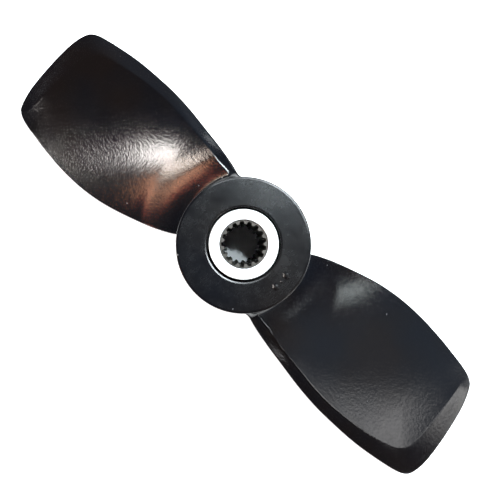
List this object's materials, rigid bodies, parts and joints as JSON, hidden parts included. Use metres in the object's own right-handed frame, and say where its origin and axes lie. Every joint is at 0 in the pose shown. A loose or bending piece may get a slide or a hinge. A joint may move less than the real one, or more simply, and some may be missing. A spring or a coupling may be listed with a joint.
{
  "type": "propeller",
  "caption": "Fixed marine propeller with twisted square-tipped blades on a cylindrical hub, a rubber torsion bush and an internally splined drive sleeve with a thrust ring.",
  "frame": {"origin": "on the hub axis, in the plane of the hub's rear face", "axes": "+Z along the hub axis towards the end with the thrust ring, +X along one blade, -X along the other"},
  "size_m": [0.4048, 0.1114, 0.077],
  "materials": {
    "painted_casting": "gloss",
    "bush_rubber": "matte",
    "sleeve_metal": "satin",
    "ring_white": "satin"
  },
  "bodies": {
    "propeller": {"propeller_casting": "painted_casting"},
    "drive_core": {"rubber_bush": "bush_rubber", "drive_sleeve": "sleeve_metal", "thrust_ring": "ring_white"}
  },
  "joints": [
    {"name": "bush_windup", "type": "hinge", "parent": "propeller", "child": "drive_core", "pos_m": [0, 0, 0.038], "axis": [0, 0, 1], "range_deg": [-12, 12], "stiffness_Nm_per_rad": 250}
  ]
}
